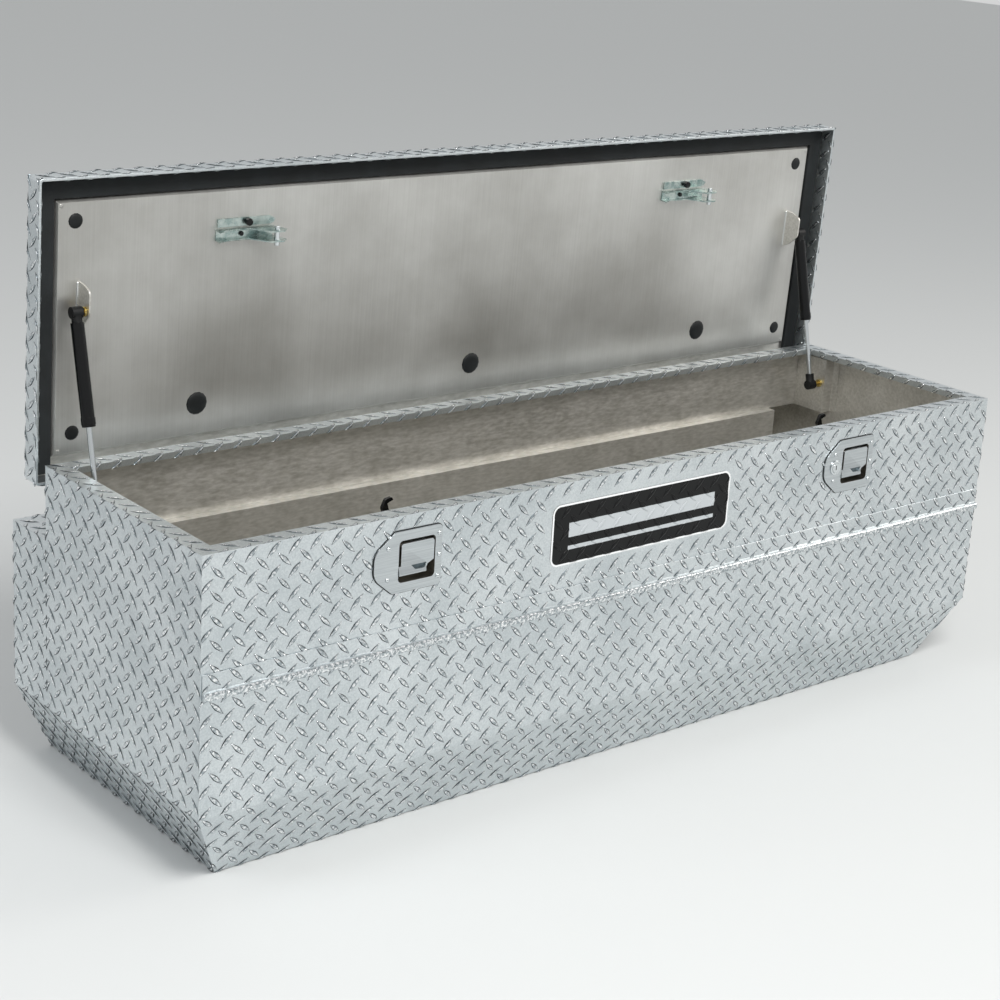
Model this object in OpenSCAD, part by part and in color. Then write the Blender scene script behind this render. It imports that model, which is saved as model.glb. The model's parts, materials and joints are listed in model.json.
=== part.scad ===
// Truck tool box: a long aluminium tread-plate chest with a hinged lid, two gas struts and two
// recessed paddle latches. Drawn with the lid open.
// X runs along the box, -Y is the latch side, +Z is up. The origin lies on the underside of the floor.

/* [Body] */
// Length of the body
body_len = 1546; // [1200:1:1800]
// Height from the floor's underside to the rim
body_h = 480; // [400:1:600]
// Depth of the upper body, front face to hinge wall
upper_depth = 420; // [350:1:520]
// Depth of the lower body, front face to rear wall
lower_depth = 522; // [450:1:640]
// Height of the ledge behind the hinge wall
ledge_h = 370; // [300:1:390]
// Height at which the lower walls start to lean inward
bend_h = 115; // [80:1:160]
// How far each end leans in at the floor
end_taper = 58; // [20:1:90]
// How far the front leans in at the floor
front_taper = 53; // [20:1:90]
// Thickness of the tread plate
sheet = 2; // [1.5:0.1:3]
// Width of the rim flange round the opening
rim_w = 28; // [20:1:36]
// Height of the lip turned down from the rim flange
rim_lip = 8; // [8:1:18]

/* [Front belt] */
// Height of the lap strip's upper edge above the floor
belt_top = 319; // [260:1:340]
// Height of the lap strip
strip_h = 25; // [18:1:32]
// Height of the folded bead under the strip
bead_h = 11; // [8:1:16]
// How far the bead stands out from the front
bead_out = 8; // [5:1:12]
// Gap between the belt's ends and the body's corners
belt_inset = 2; // [2:1:12]

/* [Lid] */
// Angle between the open lid and the closed lid
lid_angle = 87.3; // [75:0.1:95]
// Overhang of the lid beyond the body on every side
lid_over = 8; // [6.5:0.5:12]
// Depth of the lid's skirt
skirt_h = 32; // [28:1:40]
// Height of the lid's top above the rim when closed
lid_rise = 10; // [8:0.5:16]
// Height of the folded hem inside the skirt
hem_h = 24; // [16:1:26]
// Width of the foam gasket strip
gasket_w = 29; // [20:1:30]
// Gap between the gasket and the hem
gasket_gap = 2; // [1:0.5:5]
// Clearance between the gasket and the rim when closed
gasket_clear = 0.4; // [0.3:0.1:2]
// Distance from the lid's edge to the liner's edge
liner_margin = 36; // [36:1:60]
// Distance from the lid's rear edge to the liner
liner_rear_margin = 28; // [26:1:60]
// Depth of the liner pan
liner_h = 6; // [4:0.5:8]
// Thickness of the liner sheet
liner_t = 1.5; // [1:0.1:2]
// Width of the liner's bevelled border
liner_bevel = 5; // [3:1:9]
// Radius of the four corner plugs
small_plug_r = 11; // [8:0.5:14]
// Distance of the corner plugs from the liner's edges
small_plug_in = 31; // [20:1:50]
// Distance of the rear small plugs from the liner's rear edge
small_plug_rear_in = 34; // [20:1:50]
// Radius of the three plugs by the hinge
large_plug_r = 17.5; // [13:0.5:20]
// Spacing of the three plugs by the hinge
large_plug_pitch = 512; // [300:1:560]
// Distance of those plugs from the liner's hinge edge
large_plug_in = 51; // [30:1:80]

/* [Hinge] */
// Height of the hinge pin below the rim
hinge_drop = 31; // [28:1:40]
// Distance of the hinge pin behind the hinge wall
hinge_out = 5; // [4.5:0.1:6]
// Radius of the hinge pin
hinge_pin_r = 1.6; // [1.2:0.1:2]
// Outer radius of the hinge knuckles
knuckle_r = 4; // [3.5:0.1:4.2]
// Thickness of the hinge leaves
leaf_t = 1.5; // [1:0.1:2]
// Height of the hinge leaves
leaf_h = 28; // [20:1:34]
// Distance from the body's ends to the hinge's ends
hinge_inset = 18; // [15:1:150]
// Number of knuckles on the hinge
knuckles = 19; // [7:2:41]
// Gap between neighbouring knuckles
knuckle_gap = 0.5; // [0.3:0.1:2]
// Radial clearance of every running fit
fit = 0.05; // [0.02:0.01:0.1]

/* [Gas struts] */
// Distance of each strut's plane from the end of the body
strut_in = 50; // [46:1:80]
// Distance of the lower ball in front of the hinge wall
strut_foot_gap = 60; // [50:1:90]
// Distance of the lower ball below the rim
strut_foot_drop = 58; // [40:1:80]
// Distance of the upper ball from the hinge pin, along the lid
strut_head_u = 243; // [200:1:260]
// Distance of the upper ball above the hinge pin's plane, on the closed lid
strut_head_w = 10; // [6:1:14]
// Outer radius of the strut's cylinder
tube_r = 9.5; // [7.5:0.1:10]
// Radius of the strut's rod
rod_r = 4; // [3:0.5:5]
// Radius of the ball studs
ball_r = 5; // [4:0.5:6]
// Radius of the ball sockets
socket_r = 8.5; // [7.5:0.5:9]
// Distance the strut mount stands off the end wall
mount_off = 24; // [16:1:30]

/* [Latches] */
// Distance of each latch from the middle of the box
latch_x = 440; // [300:1:500]
// Distance of the latch window's centre below the rim
latch_drop = 65; // [60:1:75]
// Width of the window in the latch plate
window_w = 61; // [50:1:70]
// Height of the window in the latch plate
window_h = 60; // [50:1:66]
// Depth of the latch's recessed pan
pan_depth = 24; // [20:1:30]
// Thickness of the latch plate
plate_t = 1.6; // [1:0.1:2]
// Thickness of the latch gasket
seal_t = 1; // [0.5:0.1:1.5]
// Angle through which each hook turns to hold the bar
hook_turn = 20; // [15:1:25]
// Distance of the striker bar behind the front face
bar_depth = 94; // [85:1:115]
// Radius of the striker bar
bar_r = 4; // [3:0.5:5]
// Radius of the lock's bezel
lock_r = 12; // [10:0.5:13]

/* [Label] */
// Width of the blank label on the front
label_w = 356; // [200:1:380]
// Height of the blank label
label_h = 94; // [50:1:100]
// Offset of the label's centre from the middle of the box
label_x = -21; // [-60:1:60]

/* [Inner rail] */
// Gap between the ends of the rear rail and the end walls
rail_gap = 90; // [85:1:200]
// Height of the rail's front leg
rail_leg = 53; // [30:1:70]

/* [Hidden] */
$fn = 48;

// Colours of the pieces
tread_colour = "#bac4c8";
mill_colour = "#a49e97";
steel_colour = "#c4c8ca";
zinc_colour = "#a9b8b6";
black_colour = "#1f2426";
foam_colour = "#2a3032";
brass_colour = "#b9a25a";

// Main planes and points
half_len = body_len / 2;
front_y = -lower_depth / 2;
rear_y = lower_depth / 2;
wall_y = front_y + upper_depth;
hinge = [wall_y + hinge_out, body_h - hinge_drop];
lid_top = body_h + lid_rise;
skirt_z = lid_top - skirt_h;
plate_z = lid_top - sheet;
liner_z = plate_z - liner_h;
lid_half = half_len + lid_over;
lid_front = front_y - lid_over;
lid_rear = wall_y + lid_over;
skirt_t = 2 * sheet;
eps = 0.01;

// Vectors, outlines and bent sheets
function unit(v) = v / norm(v);
// Outline moved inward by t, its corners kept sharp; the points run counter-clockwise
function inset(p, t) = [for (i = [0:len(p) - 1])
    let (a = p[(i + len(p) - 1) % len(p)], b = p[i], c = p[(i + 1) % len(p)],
         u = unit(b - a), v = unit(c - b), n = [-u.y, u.x], m = [-v.y, v.x])
    b + t * (n + m) / (1 + n * m)];
// Strip of outline p between points i and j, t thick
function strip(p, t, i, j) = concat([for (k = [i:j]) p[k]], [for (k = [j:-1:i]) inset(p, t)[k]]);
// Outline with a fillet of radius r[i] on corner i, in n steps
function rounded(p, r, n = 6) = [for (i = [0:len(p) - 1])
    let (b = p[i], u = unit(p[(i + len(p) - 1) % len(p)] - b), v = unit(p[(i + 1) % len(p)] - b),
         h = acos(u * v) / 2, c = b + unit(u + v) * r[i] / sin(h),
         s = b + u * r[i] / tan(h) - c, e = b + v * r[i] / tan(h) - c,
         a = atan2(s.y, s.x), d = ((atan2(e.y, e.x) - a + 540) % 360) - 180)
    each r[i] == 0 ? [b] : [for (k = [0:n]) c + r[i] * [cos(a + d * k / n), sin(a + d * k / n)]]];
function box_points(x0, y0, x1, y1) = [[x0, y0], [x1, y0], [x1, y1], [x0, y1]];

// Places an outline drawn in (Y, Z), extruded along X from x0 to x1
module along_x(x0, x1) {
    translate([x0, 0, 0]) rotate([90, 0, 90]) linear_extrude(x1 - x0) children();
}
// Places an outline drawn in (X, Z), extruded along Y from y0 to y1
module along_y(y0, y1) {
    translate([0, y1, 0]) rotate([90, 0, 0]) linear_extrude(y1 - y0) children();
}
// Cylinder along X
module rod_x(x0, x1, y, z, r) {
    translate([x0, y, z]) rotate([0, 90, 0]) cylinder(h = x1 - x0, r = r);
}
// Cylinder along Y
module rod_y(x, y0, y1, z, r) {
    translate([x, y0, z]) rotate([-90, 0, 0]) cylinder(h = y1 - y0, r = r);
}

// ---- Body: two crossed outlines give every sheet of the chest -------------------------------
// Outline of the body seen from the end: front bottom, rear bottom, ledge, hinge wall, rim, front bend
side_outline = [[front_y + front_taper, 0], [rear_y, 0], [rear_y, ledge_h], [wall_y, ledge_h],
    [wall_y, body_h], [front_y, body_h], [front_y, bend_h]];
// Outline of the body seen from the front
front_outline = [[-half_len + end_taper, 0], [half_len - end_taper, 0], [half_len, bend_h],
    [half_len, body_h], [-half_len, body_h], [-half_len, bend_h]];
lap_z = belt_top - strip_h * 0.7;

// A sheet of the side outline, as wide as the body, kept below the rim flange
module cross_sheet(points, z0 = 0, z1 = body_h - sheet) {
    intersection() {
        along_x(-half_len, half_len) polygon(points);
        along_y(front_y - 1, rear_y + 1) polygon(front_outline);
        translate([-half_len, front_y - 1, z0]) cube([body_len, lower_depth + 2, z1 - z0]);
    }
}
// One flange of the rim, mitred at the corners, with its turned-down lip
module long_flange(y_out, y_in) {
    side = sign(y_in - y_out);
    translate([0, 0, body_h - sheet]) linear_extrude(sheet) polygon([[-half_len, y_out],
        [half_len, y_out], [half_len - rim_w, y_in], [-half_len + rim_w, y_in]]);
    translate([-half_len + rim_w, min(y_in, y_in - side * sheet), body_h - sheet - rim_lip])
        cube([body_len - 2 * rim_w, sheet, rim_lip + eps]);
}
module latch_sites() {
    for (side = [-1, 1]) latch_cut(side);
}
module front_upper_panel() color(tread_colour) difference() {
    union() {
        cross_sheet(strip(side_outline, sheet, 5, 6), lap_z);
        long_flange(front_y, front_y + rim_w);
    }
    latch_sites();
}
module front_lower_panel() color(tread_colour) {
    cross_sheet(strip(concat(side_outline, [side_outline[0]]), sheet, 5, 6), 0, lap_z);
    cross_sheet([side_outline[6], side_outline[0], inset(side_outline, sheet)[0],
        inset(side_outline, sheet)[6]]);
}
module front_belt() color(tread_colour) along_x(-half_len + belt_inset, half_len - belt_inset) {
    z = belt_top - strip_h;
    polygon([[front_y, belt_top], [front_y - sheet, belt_top], [front_y - sheet, z + 1],
        [front_y - bead_out + 2, z], [front_y - bead_out, z - 2], [front_y - bead_out, z - bead_h + 2],
        [front_y - bead_out + 2, z - bead_h], [front_y, z - bead_h]]);
}
module end_panel(side) color(tread_colour) mirror([side < 0 ? 1 : 0, 0, 0]) {
    inner = inset(front_outline, sheet);
    intersection() {
        along_y(front_y, rear_y)
            polygon([front_outline[1], front_outline[2], front_outline[3], inner[3], inner[2], inner[1]]);
        along_x(0, half_len) polygon(inset(side_outline, sheet));
    }
    translate([0, 0, body_h - sheet]) linear_extrude(sheet)
        polygon([[half_len, front_y], [half_len, wall_y], [half_len - rim_w, wall_y - rim_w],
            [half_len - rim_w, front_y + rim_w]]);
    translate([half_len - rim_w, front_y + rim_w, body_h - sheet - rim_lip])
        cube([sheet, upper_depth - 2 * rim_w, rim_lip + eps]);
}
module rear_upper_panel() color(tread_colour) {
    cross_sheet(strip(side_outline, sheet, 3, 4));
    long_flange(wall_y, wall_y - rim_w);
}
module rear_lower_panel() color(tread_colour) cross_sheet(strip(side_outline, sheet, 1, 3));
module floor_panel() color(tread_colour) cross_sheet(strip(side_outline, sheet, 0, 1));

// Folded angle under the ledge's bend: a flange that shows below the wall, and an upright leg
module rear_inner_rail() color(mill_colour) {
    z = ledge_h - sheet;
    y = wall_y - sheet;
    along_x(-half_len + sheet + rail_gap, half_len - sheet - rail_gap) polygon([[y + 28, z],
        [y - 15, z], [y - 15, z - 15 - rail_leg], [y - 13, z - 15 - rail_leg],
        [y - 13, z - sheet], [y + 28, z - sheet]]);
}

// ---- Gas struts: mounts on the end walls, ball studs, rods and cylinders ---------------------
strut_x = half_len - strut_in;
foot = [wall_y - strut_foot_gap, body_h - strut_foot_drop];
head_closed = hinge + [-strut_head_u, strut_head_w];
head = hinge + [-strut_head_u * cos(lid_angle) + strut_head_w * sin(lid_angle),
    strut_head_u * sin(lid_angle) + strut_head_w * cos(lid_angle)];
long_len = norm(head - foot);
short_len = norm(head_closed - foot);
lean = atan2(head.x - foot.x, head.y - foot.y);
mount_face = half_len - sheet - mount_off;
foot_len = 20;
head_len = 14;
tube_gap = 3;
tube_len = short_len - foot_len - head_len - tube_gap;
tube_wall = 1.5;
cap_len = 12;
piston_len = 8;
ear_gap = 0.3;
ear_face = strut_x - 14;
ear_t = 3;
ball_slack = 0.2;
stud_flange = 3.5;

// Turns a strut drawn upright from its lower ball into its open position
module strut_place(side) {
    translate([side * strut_x, foot.x, foot.y]) rotate([-lean, 0, 0])
        mirror([side < 0 ? 1 : 0, 0, 0]) children();
}
module strut_mount(side) color(mill_colour) mirror([side < 0 ? 1 : 0, 0, 0]) difference() {
    z0 = ledge_h - sheet;
    h = body_h - sheet - rim_lip - 2 - z0;
    y0 = foot.x - 10;
    union() {
        translate([mount_face, y0, z0]) cube([sheet, wall_y - sheet - y0, h]);
        translate([mount_face, y0 - sheet, z0]) cube([mount_off, sheet + eps, h]);
        translate([half_len - 2 * sheet, y0 - 15, z0]) cube([sheet, 15, h]);
    }
    rod_x(mount_face - 1, mount_face + sheet + 1, foot.x, foot.y, rod_r + fit);
}
// Ball stud turned about X: ball at the origin, neck, flange at distance d and a shank past it
module ball_stud(d, flange, shank) rotate([0, 90, 0]) rotate_extrude() intersection() {
    union() {
        circle(r = ball_r);
        square([rod_r - 0.5, d + 1]);
        translate([0, d]) square([ball_r + 2, flange]);
        translate([0, d]) square([rod_r, flange + shank]);
    }
    translate([0, -ball_r - 1]) square([ball_r + 3, d + flange + shank + ball_r + 2]);
}
module lower_ball_studs() color(brass_colour) for (side = [-1, 1]) mirror([side < 0 ? 1 : 0, 0, 0]) {
    translate([strut_x, foot.x, foot.y]) ball_stud(mount_face - 4 - strut_x, 4, sheet + 6);
    translate([mount_face + sheet, foot.x, foot.y]) rotate([0, 90, 0]) difference() {
        cylinder(h = 5, r = ball_r + 2.5, $fn = 6);
        translate([0, 0, -1]) cylinder(h = 7, r = rod_r);
    }
}
// Ball socket: a round cup with a narrower mouth towards +X, drawn with the ball at the origin
module socket(neck) {
    difference() {
        union() {
            translate([0, 0, 1]) cylinder(h = neck - 1, r = socket_r - 1);
            rotate([0, 90, 0]) cylinder(h = 2 * socket_r - 1, r = socket_r, center = true);
        }
        rod_x(-ball_r - ball_slack, ball_r + ball_slack, 0, 0, ball_r + ball_slack);
        rod_x(0, socket_r + 1, 0, 0, rod_r + 0.5);
    }
}
stem_grip = 6;
module strut_foot(side) color(black_colour) strut_place(side) difference() {
    socket(foot_len);
    translate([0, 0, foot_len - stem_grip]) cylinder(h = stem_grip + 1, r = rod_r + fit);
}
module strut_rod(side) color(steel_colour) strut_place(side) {
    top = long_len - head_len - tube_len + cap_len + piston_len + 7;
    translate([0, 0, foot_len - stem_grip]) cylinder(h = top - foot_len + stem_grip, r = rod_r);
    translate([0, 0, top - piston_len]) cylinder(h = piston_len, r = tube_r - tube_wall - fit);
}
module strut_tube(side) color(black_colour) strut_place(side)
    translate([0, 0, long_len - head_len - tube_len]) difference() {
        union() {
            cylinder(h = tube_len, r = tube_r);
            translate([0, 0, 3]) cylinder(h = 10, r = tube_r + 0.7);
        }
        translate([0, 0, cap_len]) cylinder(h = tube_len - cap_len - 2, r = tube_r - tube_wall);
        translate([0, 0, -1]) cylinder(h = cap_len + 2, r = rod_r + fit);
    }
module strut_head(side) color(black_colour) strut_place(side)
    translate([0, 0, long_len]) rotate([0, 180, 0]) socket(head_len);
module upper_ball_stud(side) color(brass_colour) strut_place(side)
    translate([0, 0, long_len]) rotate([0, 180, 0])
        ball_stud(strut_x - ear_face - ear_gap - stud_flange, stud_flange, 0);

// ---- Lid: drawn closed, then swung open about the hinge pin ----------------------------------
module swing() {
    translate([0, hinge.x, hinge.y]) rotate([-lid_angle, 0, 0])
        translate([0, -hinge.x, -hinge.y]) children();
}
function lid_rect(d, r) = rounded(box_points(-lid_half + d, lid_front + d, lid_half - d,
    lid_rear - d), [r, r, r, r], 4);
module lid_shell() color(tread_colour) swing() difference() {
    translate([0, 0, skirt_z]) linear_extrude(skirt_h) polygon(lid_rect(0, 5));
    translate([0, 0, skirt_z - 1]) linear_extrude(hem_h + 1 + eps) polygon(lid_rect(skirt_t, 2));
    translate([0, 0, skirt_z + hem_h]) linear_extrude(skirt_h - hem_h - sheet)
        polygon(lid_rect(sheet, 3));
}
module lid_gasket() color(foam_colour) swing() {
    outer = skirt_t + gasket_gap;
    translate([0, 0, body_h + gasket_clear]) linear_extrude(plate_z - body_h - gasket_clear)
        difference() {
            polygon(lid_rect(outer, 2));
            polygon(box_points(-lid_half + outer + gasket_w, lid_front + outer + gasket_w,
                lid_half - outer - gasket_w, lid_rear));
        }
}
// Liner pan: a flat sheet with a bevelled border, its back against the lid's top
liner_box = [-lid_half + liner_margin, lid_front + liner_margin, lid_half - liner_margin,
    lid_rear - liner_rear_margin];
module frustum(b, z0, z1, bevel) {
    low = box_points(b[0] + bevel, b[1] + bevel, b[2] - bevel, b[3] - bevel);
    high = box_points(b[0], b[1], b[2], b[3]);
    polyhedron([for (p = low) [p.x, p.y, z0], for (p = high) [p.x, p.y, z1]],
        [[0, 1, 2, 3], [7, 6, 5, 4], for (i = [0:3]) [i, i + 4, (i + 1) % 4 + 4, (i + 1) % 4]]);
}
small_plug_spots = [for (x = [liner_box[0] + small_plug_in, liner_box[2] - small_plug_in],
    y = [liner_box[1] + small_plug_in, liner_box[3] - small_plug_rear_in]) [x, y]];
large_plug_spots = [for (i = [-1:1]) [i * large_plug_pitch, liner_box[3] - large_plug_in]];
plug_grip = 1.2;
module lid_liner() color(mill_colour) swing() difference() {
    frustum(liner_box, liner_z, plate_z, liner_bevel);
    frustum([for (i = [0:3]) liner_box[i] + (i < 2 ? 1 : -1) * liner_t * 1.6], liner_z + liner_t,
        plate_z + 1, liner_bevel);
    for (p = small_plug_spots) translate([p.x, p.y, liner_z - 1])
        cylinder(h = liner_t + 2, r = small_plug_r - plug_grip);
    for (p = large_plug_spots) translate([p.x, p.y, liner_z - 1])
        cylinder(h = liner_t + 2, r = large_plug_r - plug_grip);
}
module plug(p, r) {
    translate([p.x, p.y, liner_z - 1.5]) cylinder(h = 1.5, r = r);
    translate([p.x, p.y, liner_z - eps]) cylinder(h = liner_h - 1, r = r - plug_grip - fit);
}
module small_plugs() color(black_colour) swing() for (p = small_plug_spots) plug(p, small_plug_r);
module large_plugs() color(black_colour) swing() for (p = large_plug_spots) plug(p, large_plug_r);
// Ear on the liner that carries the strut's upper end
module lid_ear(side) color(mill_colour) swing() {
    y = head_closed.x;
    mirror([side < 0 ? 1 : 0, 0, 0]) along_x(ear_face - ear_t, ear_face) polygon(rounded([
        [y - 38, liner_z], [y - 36, liner_z - 18], [y - 30, liner_z - 34], [y + 4, liner_z - 34],
        [y + 20, liner_z - 18], [y + 29, liner_z]], [0, 8, 8, 12, 12, 0], 5));
}

// ---- Piano hinge ------------------------------------------------------------------------------
hinge_len = body_len - 2 * hinge_inset;
knuckle_pitch = hinge_len / knuckles;
module knuckle_row(first) {
    for (i = [first:2:knuckles - 1]) {
        x = -hinge_len / 2 + i * knuckle_pitch;
        rod_x(x + knuckle_gap / 2, x + knuckle_pitch - knuckle_gap / 2, hinge.x, hinge.y, knuckle_r);
    }
}
module pin_bore() rod_x(-hinge_len / 2 - 1, hinge_len / 2 + 1, hinge.x, hinge.y, hinge_pin_r + fit);
module hinge_body_leaf() color(steel_colour) difference() {
    union() {
        knuckle_row(0);
        translate([-hinge_len / 2, wall_y, hinge.y - leaf_h])
            cube([hinge_len, leaf_t, leaf_h - knuckle_r - 1]);
        for (i = [0:2:knuckles - 1])
            translate([-hinge_len / 2 + i * knuckle_pitch + knuckle_gap / 2, wall_y, hinge.y - leaf_h])
                cube([knuckle_pitch - knuckle_gap, leaf_t, leaf_h]);
    }
    pin_bore();
}
module hinge_lid_leaf() color(steel_colour) swing() difference() {
    y = lid_rear - skirt_t - leaf_t;
    union() {
        knuckle_row(1);
        translate([-hinge_len / 2, y, hinge.y + knuckle_r + 1])
            cube([hinge_len, leaf_t, leaf_h - knuckle_r - 1]);
        for (i = [1:2:knuckles - 1])
            translate([-hinge_len / 2 + i * knuckle_pitch + knuckle_gap / 2, y, hinge.y])
                cube([knuckle_pitch - knuckle_gap, leaf_t, leaf_h]);
    }
    pin_bore();
}
module hinge_pin() color(steel_colour)
    rod_x(-hinge_len / 2 + 1, hinge_len / 2 - 1, hinge.x, hinge.y, hinge_pin_r);

// ---- Strikers on the lid ----------------------------------------------------------------------
bar_y = front_y + bar_depth;
bar_x = 34;
bar_z = liner_z - 30;
bar_over = 6;
arm_near = -6;
arm_far = 9;
plate_y = bar_y - 15;
knob_r = 5.5;
rivet_x = -10;
rivet_y = bar_y + 2.5;
module striker_plate(side) color(zinc_colour) swing() translate([side * latch_x, plate_y, 0])
    translate([0, 0, liner_z - 3]) linear_extrude(3) difference() {
        polygon([[-50, -6], [38, -6], [48, -1], [45, 4], [40, 6], [-50, 6]]);
        circle(r = 3 + fit);
    }
module striker_bracket(side) color(zinc_colour) swing() translate([side * latch_x, bar_y, 0])
    difference() {
        union() {
            translate([-52, arm_near, liner_z - 2]) cube([96, arm_far + 2 - arm_near, 2]);
            for (y = [arm_near, arm_far]) translate([0, y, 0]) along_y(0, 2) polygon([[-52, liner_z],
                [-54, liner_z - 17], [-40, liner_z - 9], [2, liner_z - 9], [20, bar_z - 6],
                [bar_x + 8, bar_z - 8], [52, bar_z + 2], [46, liner_z - 12], [44, liner_z]]);
        }
        rod_y(bar_x, arm_near - 2, arm_far + 4, bar_z, bar_r + fit);
        translate([rivet_x, rivet_y - bar_y, liner_z - 4]) cylinder(h = 6, r = 2.2 + fit);
    }
module striker_bars() color(steel_colour) swing() for (side = [-1, 1])
    rod_y(side * latch_x + bar_x, bar_y + arm_near - bar_over, bar_y + arm_far + bar_over + 2, bar_z,
        bar_r);
module striker_bolts() color(black_colour) swing() for (side = [-1, 1]) {
    translate([side * latch_x, plate_y, liner_z - 10]) cylinder(h = 7, r = knob_r);
    translate([side * latch_x, plate_y, liner_z - 3 - eps]) cylinder(h = 3, r = 3);
    translate([side * latch_x + rivet_x, rivet_y, liner_z - 4.5]) cylinder(h = 2.5, r = 3.6);
    translate([side * latch_x + rivet_x, rivet_y, liner_z - 2 - eps]) cylinder(h = 2, r = 2.2);
}

// ---- Paddle latches ---------------------------------------------------------------------------
latch_z = body_h - latch_drop;
pan_t = 1.2;
seal_y = front_y - seal_t;
face_y = seal_y - plate_t;
pan_y = front_y + pan_depth;
rivet_r = 1.6;
lock_x = -46;
pivot = [front_y + 4.5, latch_z + window_h / 2 - 8.5];
paddle_pin_r = 1.5;
paddle_knuckle_r = 3;
hook_pivot = [4, latch_z + 10];
hook_shaft_r = 5;
barrel_end = pan_y + 14;
hook_y = [bar_y - 3, bar_y + 3];
hook_case_end = bar_y + 10;
tail_out = 6;
rivet_spots = [[-48, 22], [-48, -22], [37, 31], [38, 0], [37, -31]];
latch_outline = rounded([[-38, 45], [-72, 18], [-72, -18], [-40, -45], [43, -45], [43, 45]],
    [10, 26, 26, 10, 9, 9], 8);

module at_latch(side) translate([side * latch_x, 0, latch_z]) children();
// Everything that has to pass through the front panel, the seal and the plate
module latch_holes(side, grow) {
    at_latch(side) {
        for (p = rivet_spots) rod_y(p.x, front_y - 5, front_y + sheet + 1, p.y, rivet_r + fit);
        translate([-window_w / 2 - grow, front_y - 5, -window_h / 2 - grow])
            cube([window_w + 2 * grow, sheet + 6, window_h + 2 * grow]);
        if (side > 0) rod_y(lock_x, front_y - 5, front_y + sheet + 1, 0, lock_r - 2 + fit);
    }
}
module latch_cut(side) latch_holes(side, pan_t + 0.5);
module latch_seal(side) color(black_colour) difference() {
    at_latch(side) along_y(seal_y, front_y) polygon(inset(latch_outline, 0));
    latch_cut(side);
}
module latch_plate(side) color(steel_colour) difference() {
    at_latch(side) {
        along_y(face_y, seal_y) polygon(inset(latch_outline, 1.2));
        along_y(seal_y - eps, pan_y) polygon(box_points(-window_w / 2 - pan_t,
            -window_h / 2 - pan_t, window_w / 2 + pan_t, window_h / 2 + pan_t));
    }
    at_latch(side) along_y(face_y - 1, pan_y - pan_t) polygon(rounded(box_points(-window_w / 2,
        -window_h / 2, window_w / 2, window_h / 2), [6, 6, 6, 6], 4));
    at_latch(side) for (p = rivet_spots) rod_y(p.x, front_y - 5, front_y, p.y, rivet_r + fit);
    if (side > 0) at_latch(side) rod_y(lock_x, front_y - 5, front_y, 0, lock_r - 2 + fit);
    rod_x(side * latch_x - window_w / 2 - 3, side * latch_x + window_w / 2 + 3, pivot.x, pivot.y,
        paddle_pin_r + fit);
    tail_slot(side);
}
// Slot in the pan's back and the case for the paddle's tail
module tail_slot(side) at_latch(side)
    translate([-25, pan_y - 3, pivot.y - latch_z - 18]) cube([14, 7, 22]);
// Paddle: a bent face whose lip reaches the window's left edge, two cheeks, a tail and a knuckle
module paddle(side) color(steel_colour) difference() {
    left = -window_w / 2 + 4.5;
    right = window_w / 2 - 1.5;
    top = window_h / 2 - 5;
    union() {
        at_latch(side) {
            along_y(front_y - 2, front_y) polygon([[left, top - 2], [left, -18], [15, -18], [19, -10],
                [right, -5], [right, top - 3], [right - 3, top], [left + 2, top]]);
            along_x(-window_w / 2 + 0.6, 15) polygon([[front_y, -7], [front_y - 2, -7],
                [front_y - 5, -17.5], [front_y - 4.6, -19.5], [front_y, -19.5]]);
            for (x = [left, right - 2]) translate([x, 0, 0]) along_x(0, 2) polygon([
                [front_y - 1, top - 5], [front_y - 1, x < 0 ? -12 : -2],
                [front_y + 4, x < 0 ? -8 : 1], [front_y + 12, top - 8], [front_y + 12, top - 5]]);
            translate([-22, 0, 0]) along_x(0, 8) polygon([[front_y - 1, top - 6],
                [front_y - 1, top - 1], [pan_y + tail_out, pivot.y - latch_z + 2],
                [pan_y + tail_out, pivot.y - latch_z - 2], [pivot.x, pivot.y - latch_z - 5]]);
        }
        rod_x(side * latch_x + left, side * latch_x + right, pivot.x, pivot.y, paddle_knuckle_r);
    }
    at_latch(side) along_y(front_y - 6, front_y - 0.8) polygon([[-9, -7.5], [-3, -14], [12.5, -14],
        [17, -7.5]]);
    rod_x(side * latch_x - window_w, side * latch_x + window_w, pivot.x, pivot.y, paddle_pin_r + fit);
    rod_x(side * latch_x - 8, side * latch_x + 20, pivot.x, pivot.y, 4.4);
}
module paddle_pins() color(steel_colour) for (side = [-1, 1])
    rod_x(side * latch_x - window_w / 2 - 2, side * latch_x + window_w / 2 + 2, pivot.x, pivot.y,
        paddle_pin_r);
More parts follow.
